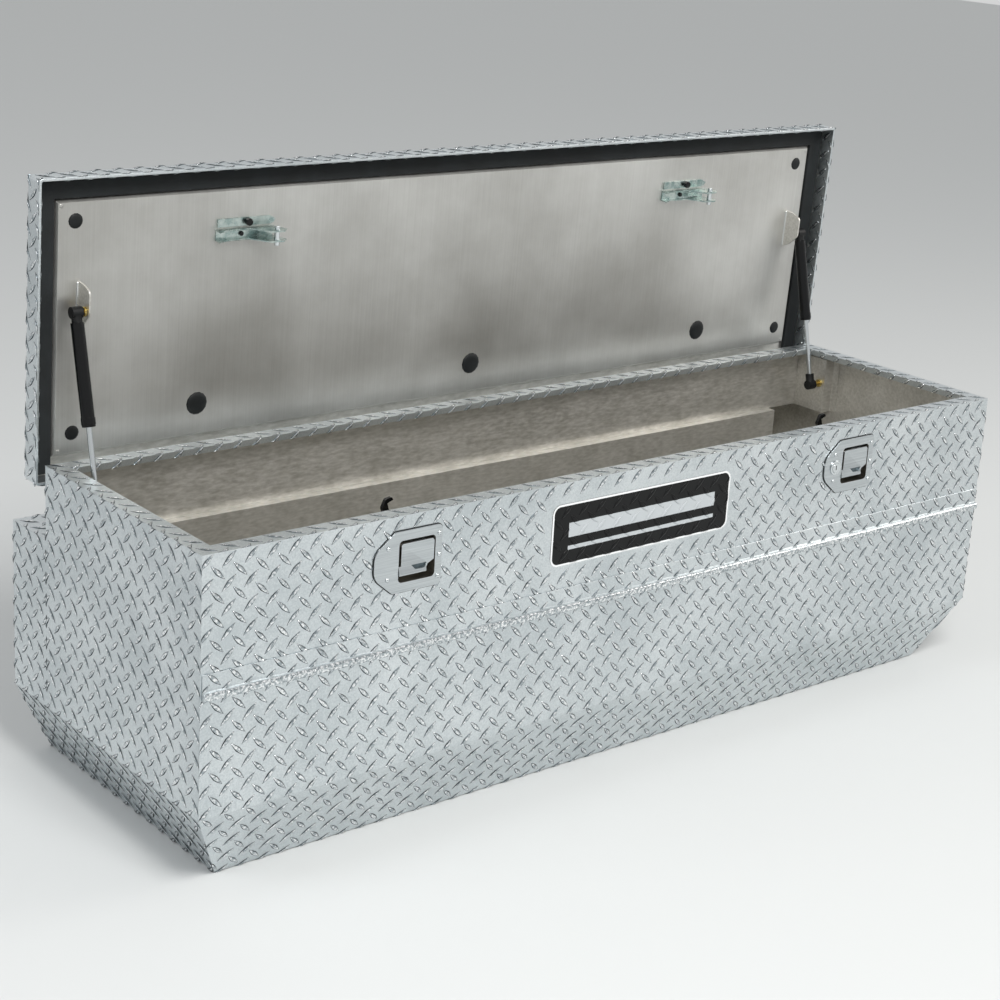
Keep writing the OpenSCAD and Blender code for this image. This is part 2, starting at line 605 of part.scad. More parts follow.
// Torsion spring wound round the paddle's pin: a helix of round wire
spring_turns = 7;
spring_wire = 0.8;
function helix(a) = [-6 + 24 * a / (360 * spring_turns), 3.4 * cos(a), 3.4 * sin(a)];
module paddle_springs() color(steel_colour) for (side = [-1, 1])
    translate([side * latch_x, pivot.x, pivot.y]) {
        n = 16 * spring_turns;
        m = 6;
        ring = [for (i = [0:n], k = [0:m - 1]) let (a = 360 * i / 16, c = helix(a), b = 360 * k / m)
            c + spring_wire * [cos(b), sin(b) * cos(a), sin(b) * sin(a)]];
        polyhedron(ring, concat([[for (k = [0:m - 1]) k]], [[for (k = [m - 1:-1:0]) n * m + k]],
            [for (i = [0:n - 1], k = [0:m - 1]) [i * m + k, (i + 1) * m + k,
                (i + 1) * m + (k + 1) % m, i * m + (k + 1) % m]]));
    }
module latch_case(side) color(black_colour) difference() {
    floor_z = -24;
    at_latch(side) {
        translate([-27, pan_y, floor_z]) cube([54, 2.5, 48]);
        translate([-14, pan_y, floor_z]) cube([34, hook_case_end - pan_y, 2.5]);
        translate([-14, hook_case_end - 2.5, floor_z]) cube([34, 2.5, 46]);
    }
    at_latch(side) rod_y(hook_pivot.x, pan_y - 1, hook_case_end + 1, hook_pivot.y - latch_z,
        hook_shaft_r + fit);
    tail_slot(side);
}
// Shaft with the hook that holds the striker bar, turned back to let the bar pass
module latch_hook(side) color(black_colour) translate([side * latch_x + hook_pivot.x, 0, hook_pivot.y])
    rotate([0, -hook_turn, 0]) translate([-hook_pivot.x, 0, -hook_pivot.y]) {
    rod_y(hook_pivot.x, pan_y + 0.5, hook_case_end + 3, hook_pivot.y, hook_shaft_r);
    along_y(hook_y[0], hook_y[1]) polygon(rounded([[-3, hook_pivot.y - 8], [11, hook_pivot.y - 8],
        [bar_x - 6, bar_z - 12], [bar_x - 5.5, bar_z + 5], [bar_x + 5, bar_z + 5],
        [bar_x + 4, bar_z + 10], [bar_x - 6, bar_z + 12], [bar_x - 16, bar_z + 2],
        [bar_x - 16, bar_z - 8], [-3, hook_pivot.y + 8]], [4, 4, 0, 0, 0, 2, 5, 4, 3, 4], 4));
}
module latch_rivets() color(steel_colour) for (side = [-1, 1]) at_latch(side) for (p = rivet_spots) {
    rod_y(p.x, face_y - eps, front_y + sheet + 2, p.y, rivet_r);
    rod_y(p.x, face_y - 1.2, face_y, p.y, 3.1);
    rod_y(p.x, front_y + sheet, front_y + sheet + 2, p.y, 2.8);
}
// Key lock in the right latch: bezel and barrel, keyed core, and the cam on its tail
core_r = 8;
module lock_barrel() color(steel_colour) at_latch(1) difference() {
    union() {
        rod_y(lock_x, face_y - 2, face_y, 0, lock_r);
        rod_y(lock_x, face_y - eps, barrel_end, 0, lock_r - 2);
    }
    rod_y(lock_x, face_y - 4, barrel_end + 1, 0, core_r + fit);
}
module lock_core() color(steel_colour) at_latch(1) difference() {
    rod_y(lock_x, face_y - 2.5, barrel_end + 1, 0, core_r);
    translate([lock_x - 0.8, face_y - 3, -4]) cube([1.6, 9, 8]);
}
module lock_cam() color(zinc_colour) at_latch(1) along_y(barrel_end + 1, barrel_end + 4)
    polygon(rounded([[lock_x - 8, 8], [lock_x - 6, -28], [lock_x + 6, -28], [lock_x + 8, 8]],
        [6, 4, 4, 6], 5));

// Blank label on the front
module front_label() color(black_colour) along_y(front_y - 0.5, front_y) polygon(rounded(
    box_points(label_x - label_w / 2, body_h - 32 - label_h, label_x + label_w / 2, body_h - 32),
    [14, 14, 14, 14], 8));

front_upper_panel();
front_lower_panel();
front_belt();
end_panel(-1);  // left_end_panel
end_panel(1);  // right_end_panel
rear_upper_panel();
rear_lower_panel();
floor_panel();
rear_inner_rail();
strut_mount(-1);  // strut_mount_left
strut_mount(1);  // strut_mount_right
lower_ball_studs();
hinge_body_leaf();
hinge_lid_leaf();
hinge_pin();
lid_shell();
lid_liner();
lid_gasket();
small_plugs();
large_plugs();
lid_ear(-1);  // lid_ear_left
lid_ear(1);  // lid_ear_right
strut_foot(-1);  // strut_foot_left
strut_rod(-1);  // strut_rod_left
strut_tube(-1);  // strut_tube_left
strut_head(-1);  // strut_head_left
upper_ball_stud(-1);  // upper_ball_stud_left
strut_foot(1);  // strut_foot_right
strut_rod(1);  // strut_rod_right
strut_tube(1);  // strut_tube_right
strut_head(1);  // strut_head_right
upper_ball_stud(1);  // upper_ball_stud_right
striker_plate(-1);  // striker_plate_left
striker_bracket(-1);  // striker_bracket_left
striker_plate(1);  // striker_plate_right
striker_bracket(1);  // striker_bracket_right
striker_bars();
striker_bolts();
latch_plate(-1);  // latch_plate_left
latch_seal(-1);  // latch_seal_left
paddle(-1);  // paddle_left
latch_case(-1);  // latch_case_left
latch_hook(-1);  // latch_hook_left
latch_plate(1);  // latch_plate_right
latch_seal(1);  // latch_seal_right
paddle(1);  // paddle_right
latch_case(1);  // latch_case_right
latch_hook(1);  // latch_hook_right
paddle_pins();
paddle_springs();
latch_rivets();
lock_barrel();
lock_core();
lock_cam();
front_label();
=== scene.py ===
import json
import math
import bmesh
import bpy
import numpy as np
from mathutils import Matrix, Vector


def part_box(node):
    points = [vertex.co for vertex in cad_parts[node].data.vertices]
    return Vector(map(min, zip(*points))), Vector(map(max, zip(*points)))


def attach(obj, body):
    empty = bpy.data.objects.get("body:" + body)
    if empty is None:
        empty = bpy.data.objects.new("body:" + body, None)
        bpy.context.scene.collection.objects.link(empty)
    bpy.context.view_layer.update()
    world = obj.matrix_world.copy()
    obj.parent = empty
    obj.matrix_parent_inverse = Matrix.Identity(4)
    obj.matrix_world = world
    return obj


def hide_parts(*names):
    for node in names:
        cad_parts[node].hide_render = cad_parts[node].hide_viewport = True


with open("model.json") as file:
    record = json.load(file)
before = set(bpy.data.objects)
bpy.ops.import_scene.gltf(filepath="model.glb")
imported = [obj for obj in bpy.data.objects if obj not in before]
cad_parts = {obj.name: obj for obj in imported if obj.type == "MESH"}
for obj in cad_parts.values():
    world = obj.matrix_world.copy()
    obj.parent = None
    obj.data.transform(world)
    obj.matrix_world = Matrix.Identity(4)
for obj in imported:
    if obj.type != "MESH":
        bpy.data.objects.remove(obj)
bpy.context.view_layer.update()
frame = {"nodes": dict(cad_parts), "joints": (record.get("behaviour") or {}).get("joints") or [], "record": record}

# ---- Studio: camera, floor, soft boxes --------------------------------------------------------
# A pale seamless floor in a white room, lit by one large soft box over the latch side and a
# weaker one at each end. The camera stands at the left front corner, a little above the rim.
eye = Vector((-2.0286, -2.3406, 1.3747))
heading = math.radians(-40.82)
dip = math.radians(16.67)
roll = math.radians(3.65)
ahead = Vector((-math.sin(heading) * math.cos(dip), math.cos(heading) * math.cos(dip), -math.sin(dip)))
level = ahead.cross(Vector((0, 0, 1))).normalized()
above = level.cross(ahead)
across = level * math.cos(roll) + above * math.sin(roll)
over = above * math.cos(roll) - level * math.sin(roll)
lens = bpy.data.cameras.new("studio_camera")
lens.lens = 74.0
lens.sensor_width = 36.0
lens.shift_x = -0.04
lens.shift_y = -0.06
lens.clip_start = 0.05
lens.clip_end = 60.0
camera = bpy.data.objects.new("studio_camera", lens)
camera.matrix_world = Matrix((across, over, -ahead)).transposed().to_4x4()
camera.location = eye
bpy.context.scene.collection.objects.link(camera)
bpy.context.scene.camera = camera
bpy.context.scene.view_settings.view_transform = "Standard"


def linear(hex_colour):
    """sRGB hex string to linear red, green, blue, alpha."""
    c = np.array([int(hex_colour[i:i + 2], 16) for i in (1, 3, 5)]) / 255
    c = np.where(c <= 0.04045, c / 12.92, ((c + 0.055) / 1.055) ** 2.4)
    return (*c.tolist(), 1.0)


def add(material, kind, links=None, **settings):
    """Adds one node. A setting names an input socket, with _ for a space, or else an attribute;
    links maps an input's name or number to the output that feeds it."""
    node = material.node_tree.nodes.new(kind)
    for key, value in settings.items():
        name = key.replace("_", " ")
        if hasattr(node, key):
            setattr(node, key, value)
        elif name in node.inputs:
            node.inputs[name].default_value = value
        else:
            node.inputs[int(key[1:])].default_value = value
    for key, output in (links or {}).items():
        material.node_tree.links.new(output, node.inputs[key])
    return node


def finish_of(name, **shader):
    """A material that holds one Principled shader and its output: the material and the shader."""
    material = bpy.data.materials.new(name)
    material.use_nodes = True
    material.node_tree.nodes.clear()
    surface = add(material, "ShaderNodeBsdfPrincipled")
    for key, value in shader.items():
        surface.inputs[key.replace("_", " ")].default_value = value
    add(material, "ShaderNodeOutputMaterial", {"Surface": surface.outputs["BSDF"]})
    return material, surface


def feed(material, output, node, name):
    """Links an output to a named input of a node."""
    material.node_tree.links.new(output, node.inputs[name])


# Painted studio floor: matt, very slightly warm
floor_paint, _ = finish_of("floor_paint", Roughness=0.9, Base_Color=linear("#cbcdcd"))
floor_mesh = bpy.data.meshes.new("studio_floor")
floor_mesh.from_pydata([(-14, -14, 0), (14, -14, 0), (14, 14, 0), (-14, 14, 0)], [], [(0, 1, 2, 3)])
floor_mesh.materials.append(floor_paint)
floor = bpy.data.objects.new("studio_floor", floor_mesh)
floor.location.z = -0.001
bpy.context.scene.collection.objects.link(floor)
room = bpy.data.worlds.new("white_room")
room.use_nodes = True
room.node_tree.nodes["Background"].inputs["Color"].default_value = linear("#f1f2f2")
room.node_tree.nodes["Background"].inputs["Strength"].default_value = 0.74
bpy.context.scene.world = room
for name, place, size, power, tint in (
        ("soft_box_front", (-0.9, -2.6, 3.6), 1.5, 145, "#fffefc"),
        ("soft_box_left", (-3.6, 0.6, 1.9), 1.3, 20, "#f8faff"),
        ("soft_box_right", (3.2, -1.6, 2.2), 1.8, 35, "#fffaf4")):
    lamp = bpy.data.lights.new(name, "AREA")
    lamp.shape = "SQUARE"
    lamp.size = size
    lamp.energy = power
    lamp.color = linear(tint)[:3]
    holder = bpy.data.objects.new(name, lamp)
    holder.location = place
    holder.rotation_euler = (Vector((0, 0, 0.4)) - Vector(place)).to_track_quat("-Z", "Y").to_euler()
    bpy.context.scene.collection.objects.link(holder)

# ---- Sheets of the chest ----------------------------------------------------------------------
# The chest is folded and welded from 2 mm aluminium tread plate. Its outside is the rolled face
# with raised lozenges; its inside is the plain mill face. Edges are sheared and lightly broken.


def noise(material, scale, detail, stretch=None, **settings):
    """Cloud noise on Object coordinates, which stretch multiplies axis by axis: its value."""
    where = add(material, "ShaderNodeTexCoord").outputs["Object"]
    if stretch:
        where = add(material, "ShaderNodeMapping", {"Vector": where}, Scale=stretch).outputs[0]
    return add(material, "ShaderNodeTexNoise", {"Vector": where}, Scale=scale, Detail=detail,
               **settings).outputs["Fac"]


def mean_of(material, first, second):
    """The sum of two values, and their mean."""
    both = add(material, "ShaderNodeMath", {0: first, 1: second}, operation="ADD").outputs[0]
    return both, add(material, "ShaderNodeMath", {0: both}, operation="MULTIPLY", _1=0.5).outputs[0]


def tinted(material, shader, value, *stops):
    """Base colour along a ramp between two stops, each a position and an sRGB hex colour."""
    ramp = add(material, "ShaderNodeValToRGB", {"Fac": value})
    for element, (position, colour) in zip(ramp.color_ramp.elements, stops):
        element.position = position
        element.color = linear(colour)
    feed(material, ramp.outputs["Color"], shader, "Base Color")


def graded(material, shader, value, smooth, rough, **span):
    """Roughness from smooth to rough as value goes from 0 to 1, or over the span given."""
    ramp = add(material, "ShaderNodeMapRange", {"Value": value}, To_Min=smooth, To_Max=rough, **span)
    feed(material, ramp.outputs["Result"], shader, "Roughness")


def pitted(material, shader, value, strength, deep):
    """Fine relief, deep metres high, drawn by a bump of the value."""
    bump = add(material, "ShaderNodeBump", {"Height": value}, Strength=strength, Distance=deep)
    feed(material, bump.outputs["Normal"], shader, "Normal")


# Rolled 3003 aluminium: silver with a cool cast, cloudy at hand scale, fine specks from the rolls
tread_face, tread_shader = finish_of("rolled_tread_plate_aluminium", Metallic=1.0)
speck = noise(tread_face, 420.0, 2.0)
rolled, shade = mean_of(tread_face, noise(tread_face, 9.0, 3.0), speck)
tinted(tread_face, tread_shader, shade, (0.38, "#c4cbce"), (0.64, "#dfe4e6"))
graded(tread_face, tread_shader, speck, 0.3, 0.46)
pitted(tread_face, tread_shader, rolled, 0.12, 0.001)

# Mill face of the same sheet: warm grey, drawn faintly along the length, softly stained
mill_face, mill_shader = finish_of("mill_finish_aluminium", Metallic=0.9)
lines = noise(mill_face, 4.0, 3.0, stretch=(18.0, 60.0, 60.0))
stain = noise(mill_face, 13.0, 6.0, Roughness=0.62)
_, shade = mean_of(mill_face, lines, stain)
tinted(mill_face, mill_shader, shade, (0.36, "#c2c0b9"), (0.66, "#e6e4df"))
graded(mill_face, mill_shader, lines, 0.32, 0.52)
pitted(mill_face, mill_shader, lines, 0.06, 0.0005)

body_of_node = {n: b for b, ns in frame["record"]["behaviour"]["bodies"].items() for n in ns}
slot_of_node = {s["node"]: s["material_slot"] for s in frame["record"]["subparts"]}


def link_piece(name, mesh, body, slot, *stands_for):
    """Puts a mesh into the scene as a piece that rides a body and stands for CAD nodes."""
    piece = bpy.data.objects.new(name, mesh)
    bpy.context.scene.collection.objects.link(piece)
    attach(piece, body)
    if stands_for:
        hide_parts(*stands_for)
    return piece


def edged(node, broken, *finishes, hidden_side=None):
    """A solid with its triangles joined, flat ones dissolved, and its sharp edges rounded by
    broken metres. hidden_side(centre, normal) gives the number of a face's finish, 0 or more."""
    shape = bmesh.new()
    shape.from_mesh(frame["nodes"][node].data)
    bmesh.ops.remove_doubles(shape, verts=shape.verts, dist=2e-6)
    bmesh.ops.dissolve_limit(shape, angle_limit=0.004, verts=shape.verts, edges=shape.edges)
    mesh = bpy.data.meshes.new(node + "_finished")
    shape.to_mesh(mesh)
    shape.free()
    for finish in finishes:
        mesh.materials.append(finish)
    if hidden_side:
        picks = [int(hidden_side(p.center, p.normal)) for p in mesh.polygons]
        mesh.polygons.foreach_set("material_index", picks)
    mesh.polygons.foreach_set("use_smooth", [True] * len(mesh.polygons))
    mesh.set_sharp_from_angle(angle=math.radians(32))
    piece = link_piece(node + "_finished", mesh, body_of_node[node], slot_of_node[node], node)
    if broken:
        bevel = piece.modifiers.new("broken_edges", "BEVEL")
        bevel.width = broken
        bevel.segments = 2
        bevel.limit_method = "ANGLE"
        bevel.angle_limit = math.radians(40)
        bevel.use_clamp_overlap = True
        bevel.harden_normals = True
    return piece


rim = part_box("rear_upper_panel")[1].z
end_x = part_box("rear_upper_panel")[1].x
front_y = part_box("front_upper_panel")[0].y
wall_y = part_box("rear_upper_panel")[1].y
rear_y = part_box("rear_lower_panel")[1].y
ledge_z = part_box("rear_lower_panel")[1].z
lip_z = rim - 0.010
inside_edge = 0.02
middle = Vector((0, 0, ledge_z / 2))


def mill_side(centre, normal):
    """True on the faces that look at the middle of the chest, except on the lip turned down from
    the rim, where the fold brings the rolled face inward."""
    on_lip = centre.z > lip_z + 0.0005 and abs(centre.x) < end_x - inside_edge
    on_lip = on_lip and front_y + inside_edge < centre.y < wall_y - inside_edge
    return (normal.dot(middle - centre) > 0) != on_lip


for node in ("front_upper_panel", "front_lower_panel", "left_end_panel", "right_end_panel",
             "rear_upper_panel", "rear_lower_panel", "floor_panel"):
    edged(node, 0.0005, tread_face, mill_face, hidden_side=mill_side)
edged("rear_inner_rail", 0.0005, mill_face)

# ---- Raised lozenges of the tread plate -------------------------------------------------------
# The rolls press in lens-shaped lozenges, 30 mm long and 1.6 mm high, on a 33 mm square lattice:
# one leans right on each corner and one leans left in each middle. Shears and folds cut them off.
pitch = 0.033
lozenge_len = 0.0305
lozenge_wide = 0.0076
lozenge_high = 0.0016
along = np.array([-0.72, -0.4, 0.0, 0.4, 0.72])
aside = np.array([-1.0, -0.64, 0.0, 0.64, 1.0])
s_grid, t_grid = np.meshgrid(along, aside, indexing="ij")
# Outline half width falls as 1 - |s|^1.5 along the lozenge; height as (1 - s^2)(1 - |t|^2.2)
lens_u = np.concatenate([[-1], s_grid.ravel(), [1]]) * lozenge_len / 2
lens_v = np.concatenate([[0], (t_grid * (1 - np.abs(s_grid) ** 1.5)).ravel(), [0]]) * lozenge_wide / 2
dome = (1 - s_grid ** 2) * (1 - np.abs(t_grid) ** 2.2)
lens_h = np.concatenate([[0], dome.ravel(), [0]]) * lozenge_high
rows, columns = s_grid.shape
cell = np.arange(rows * columns).reshape(rows, columns) + 1
last = rows * columns + 1
lens_faces = [(cell[i, j], cell[i + 1, j], cell[i + 1, j + 1], cell[i, j + 1])
              for i in range(rows - 1) for j in range(columns - 1)]
lens_faces += [(0, cell[0, j], cell[0, j + 1]) for j in range(columns - 1)]
lens_faces += [(last, cell[-1, j + 1], cell[-1, j]) for j in range(columns - 1)]
lens_base = (0, *cell[:, -1], last, *cell[::-1, 0])
# The outer flanks come first and last across the lozenge; they take a painted shade
lens_shaded_flank = [int(j in (0, columns - 2)) for i in range(rows - 1) for j in range(columns - 1)]
lens_shaded_flank += [int(j in (0, columns - 2)) for j in range(columns - 1)] * 2 + [0]


def lozenge_field(corner, right, up, outline, clear=(), height=1.0, shift=(0.0, 0.0)):
    """Points of every lozenge on one flat face, as an array of lozenges by points by 3. The face
    is spanned by right and up from corner; outline is its convex outline in those directions,
    counter-clockwise. A lozenge that crosses an edge is cut off there: each point beyond it moves
    straight back onto it, and a lozenge with less than 0.3 of its points left goes. clear lists
    rectangles that stay bare, height multiplies the rise, and shift moves the lattice."""
    right, up, outline = np.array(right, float), np.array(up, float), np.array(outline, float)
    low, high = outline.min(0) - pitch, outline.max(0) + pitch
    i, j = np.meshgrid(np.arange(int((high[0] - low[0]) / pitch) + 1),
                       np.arange(int((high[1] - low[1]) / pitch) + 1), indexing="ij")
    grid = np.stack([i.ravel(), j.ravel()], 1) * pitch + low + np.array(shift)
    centres = np.concatenate([grid, grid + pitch / 2])
    lean = np.concatenate([np.ones(len(grid)), -np.ones(len(grid))])
    u = centres[:, :1] + (lens_u - lean[:, None] * lens_v) * math.sqrt(0.5)
    v = centres[:, 1:] + (lean[:, None] * lens_u + lens_v) * math.sqrt(0.5)
    flat = np.stack([u, v], 2)
    before = flat.copy()
    for a, b in zip(outline, np.roll(outline, -1, 0)):
        normal = np.array([a[1] - b[1], b[0] - a[0]]) / np.linalg.norm(b - a)
        depth = (flat - a) @ normal
        flat -= np.minimum(depth, 0)[..., None] * normal
    kept = np.mean(np.linalg.norm(flat - before, axis=2) < 1e-6, 1) > 0.3
    for x0, y0, x1, y1 in clear:
        over = (u > x0) & (u < x1) & (v > y0) & (v < y1)
        kept &= ~over.any(1)
    flat = flat[kept]
    return (np.array(corner, float) + flat[..., :1] * right + flat[..., 1:] * up
            + lens_h[None, :, None] * height * np.cross(right, up))


def lozenge_mesh(name, fields, *finishes):
    """One mesh from several fields of lozenges. Each lozenge has a smooth dome, whose outer flanks
    take the second finish, a painted shade, where there is one, and a flat base. A left-leaning one
    is a turned one, not a mirrored one, so every face points outwards."""
    points = np.concatenate(fields)
    count, each = points.shape[:2]
    faces = []
    for k in range(count):
        faces += [tuple(int(c) + k * each for c in f) for f in lens_faces]
        faces.append(tuple(int(c) + k * each for c in lens_base))
    mesh = bpy.data.meshes.new(name)
    mesh.from_pydata(points.reshape(-1, 3).tolist(), [], faces)
    for finish in finishes:
        mesh.materials.append(finish)
    if len(finishes) > 1:
        mesh.polygons.foreach_set("material_index", lens_shaded_flank * count)
    smooth = ([True] * len(lens_faces) + [False]) * count
    mesh.polygons.foreach_set("use_smooth", smooth)
    mesh.update()
    return mesh


# The tops of the lozenges are burnished by the rolls and worn smoother; their speckled near-white colour is a
# painted highlight, glints of the room
burnish_and_highlight, rise_highlight_shader = finish_of("burnished_lozenges_painted_highlight", Metallic=1.0)
wear_and_glints = noise(burnish_and_highlight, 260.0, 2.0)
tinted(burnish_and_highlight, rise_highlight_shader, wear_and_glints, (0.42, "#a3abaf"), (0.6, "#f4f6f7"))
graded(burnish_and_highlight, rise_highlight_shader, wear_and_glints, 0.16, 0.34)

# Their outer flanks are coloured dark as painted shade, a dark line round the foot of each lozenge
flank_painted_shade, flank_shade_shader = finish_of("lozenge_flanks_painted_shade", Metallic=1.0)
flank_shade_mottle = noise(flank_painted_shade, 90.0, 3.0)
tinted(flank_painted_shade, flank_shade_shader, flank_shade_mottle, (0.35, "#2f3538"), (0.7, "#747d81"))
graded(flank_painted_shade, flank_shade_shader, flank_shade_mottle, 0.4, 0.6)


def relief(name, body, fields):
    """A piece of raised lozenges that rides a body, burnished with a painted highlight on top and with painted
    shade on its flanks.
    """
    return link_piece(name, lozenge_mesh(name, fields, burnish_and_highlight, flank_painted_shade), body, "tread_plate")


X, Y, Z = np.eye(3)
seam_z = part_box("front_belt")[1].z
bead_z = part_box("front_belt")[0].z
bead_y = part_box("front_belt")[0].y
belt_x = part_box("front_belt")[1].x
strip_h = 0.025
bead_h = seam_z - bead_z - strip_h
bead_top = bead_z + bead_h
bend_z = 0.115
floor_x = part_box("floor_panel")[1].x
floor_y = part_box("floor_panel")[0].y
rim_w = 0.028
sheet = 0.002
bare_edge = 0.001
under_skirt = 0.062
# The bead's folded edge takes the burnished lozenge finish, whose near-white colour is a painted highlight along
# the bead
edged("front_belt", 0.0012, tread_face, burnish_and_highlight, hidden_side=lambda c, n: c.z < bead_top)
label_low, label_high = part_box("front_label")


def rectangle(x0, y0, x1, y1):
    """The corners of a rectangle, counter-clockwise."""
    return [(x0, y0), (x1, y0), (x1, y1), (x0, y1)]


latch_spots = [np.array(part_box(f"paddle_{side}")) for side in ("left", "right")]
latch_x = [float(spot[:, 0].mean()) for spot in latch_spots]
latch_z = rim - 0.065
window_w, window_h = 0.0315, 0.0305
windows = [(x - window_w, latch_z - window_h, x + window_w, latch_z + window_h) for x in latch_x]
lean_front = np.array([0, front_y - floor_y, bend_z])
front_slope = float(np.linalg.norm(lean_front))
lean_end = np.array([end_x - floor_x, 0, bend_z])
end_slope = float(np.linalg.norm(lean_end))
label_box = (label_low.x, label_low.z, label_high.x, label_high.z)
front_shift = (0.0065, 0.0185)
relief("tread_relief_front_upper", "chest", [
    lozenge_field((0, front_y, 0), X, Z, rectangle(-end_x, seam_z, end_x, rim - bare_edge),
                  windows + [label_box], shift=front_shift)])
relief("tread_relief_front_lower", "chest", [
    lozenge_field((0, front_y - sheet, 0), X, Z, rectangle(-belt_x, bead_top, belt_x, seam_z)),
    lozenge_field((0, bead_y, 0), X, Z, rectangle(-belt_x, bead_z + sheet, belt_x, bead_top - sheet),
                  height=0.6, shift=(0.008, 0.011)),
    lozenge_field((0, front_y, 0), X, Z, rectangle(-end_x, bend_z, end_x, bead_z),
                  shift=(0.008, 0.005)),
    lozenge_field((0, floor_y, 0), X, lean_front / front_slope,
                  [(-floor_x, 0), (floor_x, 0), (end_x, front_slope), (-end_x, front_slope)])])
for side, name in ((-1, "left"), (1, "right")):
    right = side * Y
    face = [(side * v.y, v.z) for v in (Vector((0, front_y, bend_z)), Vector((0, wall_y, rim)),
                                        Vector((0, rear_y, ledge_z)))]
    y0, y1, y2 = face[0][0], face[1][0], face[2][0]
    slope = [(side * floor_y, 0), (side * rear_y, 0), (side * rear_y, end_slope),
             (side * front_y, end_slope)]
    relief(f"tread_relief_{name}_end", "chest", [
        lozenge_field((side * end_x, 0, 0), right, Z,
                      rectangle(min(y0, y1), bend_z, max(y0, y1), rim - bare_edge)),
        lozenge_field((side * end_x, 0, 0), right, Z,
                      rectangle(min(y1, y2), bend_z, max(y1, y2), ledge_z)),
        lozenge_field((side * floor_x, 0, 0), right,
                      (side * lean_end[0] / end_slope, 0, bend_z / end_slope),
                      slope if side > 0 else slope[::-1])])
relief("tread_relief_rear", "chest", [
    lozenge_field((0, wall_y, 0), -X, Z, rectangle(-end_x, ledge_z, end_x, rim - under_skirt)),
    lozenge_field((0, 0, ledge_z), X, Y, rectangle(-end_x, wall_y, end_x, rear_y)),
    lozenge_field((0, rear_y, 0), -X, Z, [(-floor_x, 0), (floor_x, 0), (end_x, bend_z),
                                          (end_x, ledge_z), (-end_x, ledge_z), (-end_x, bend_z)])])
inner_x, inner_front, inner_back = end_x - rim_w, front_y + rim_w, wall_y - rim_w
flange = [
    [(-end_x, front_y), (end_x, front_y), (inner_x, inner_front), (-inner_x, inner_front)],
    [(-inner_x, inner_back), (inner_x, inner_back), (end_x, wall_y), (-end_x, wall_y)],
    [(-end_x, front_y), (-inner_x, inner_front), (-inner_x, inner_back), (-end_x, wall_y)],
    [(end_x, front_y), (end_x, wall_y), (inner_x, inner_back), (inner_x, inner_front)]]
lip = [((0, inner_back, 0), X, (-inner_x, lip_z, inner_x, rim)),
       ((0, inner_front, 0), -X, (-inner_x, lip_z, inner_x, rim)),
       ((-inner_x, 0, 0), Y, (inner_front, lip_z, inner_back, rim)),
       ((inner_x, 0, 0), -Y, (-inner_back, lip_z, -inner_front, rim))]
rim_height = 0.8
relief("tread_relief_rim", "chest", [
    lozenge_field((0, 0, rim), X, Y, outline, height=rim_height) for outline in flange] + [
    lozenge_field(corner, right, Z, rectangle(*span), height=rim_height)
    for corner, right, span in lip])

# ---- Lid --------------------------------------------------------------------------------------
# The lid is one sheet of tread plate folded down all round, with a hem turned up inside the
# skirt, so that the rolled face shows outside and in. It hangs on a full-length piano hinge.
lid_joint = next(j for j in frame["joints"] if j["name"] == "lid_hinge")
hinge_at = np.array(lid_joint["pos_m"])
opened = -math.radians(lid_joint["range_deg"][1])
swing = np.array([[1, 0, 0], [0, math.cos(opened), -math.sin(opened)],
                  [0, math.sin(opened), math.cos(opened)]])


def on_lid(point):
    """A point of the closed lid, turned about the hinge pin to where the open lid holds it."""
    return (np.asarray(point, float) - hinge_at) @ swing.T + hinge_at


lid_over = 0.008
lid_x = end_x + lid_over
lid_front = front_y - lid_over
lid_back = wall_y + lid_over
lid_top = rim + 0.010
skirt_z = lid_top - 0.032
lid_down = Vector(swing @ -Z)
above_hem = Vector(on_lid((0, 0, skirt_z + 0.02)))


def lid_mill_side(centre, normal):
    """True on the faces of the lid that look down at the chest from above the hem."""
    return normal.dot(lid_down) > 0.9 and (centre - above_hem).dot(lid_down) < 0


edged("lid_shell", 0.0008, tread_face, mill_face, hidden_side=lid_mill_side)
folded = 2 * sheet
hem_x, hem_front, hem_z = lid_x - folded, lid_front + folded, skirt_z + 0.023
hem_back = lid_back - folded
skirt = [((0, lid_front, 0), X, Z, (-lid_x, skirt_z, lid_x, lid_top)),
         ((0, lid_back, 0), -X, Z, (-lid_x, skirt_z, lid_x, lid_top)),
         ((-lid_x, 0, 0), -Y, Z, (-lid_back, skirt_z, -lid_front, lid_top)),
         ((lid_x, 0, 0), Y, Z, (lid_front, skirt_z, lid_back, lid_top))]
hem = [((0, hem_front, 0), -X, Z, (-hem_x, skirt_z, hem_x, hem_z)),
       ((-hem_x, 0, 0), Y, Z, (hem_front, skirt_z, hem_back, hem_z)),
       ((hem_x, 0, 0), -Y, Z, (-hem_back, skirt_z, -hem_front, hem_z))]
relief("tread_relief_lid_top", "lid", [on_lid(lozenge_field(
    (0, 0, lid_top), X, Y, rectangle(-lid_x, lid_front, lid_x, lid_back)))])
# The hem's lozenges are pressed flatter, where the sheet is folded on itself
relief("tread_relief_lid_skirt", "lid", [
    on_lid(lozenge_field(corner, right, up, rectangle(*span), height=high))
    for faces, high in ((skirt, 1.0), (hem, 0.65)) for corner, right, up, span in faces])

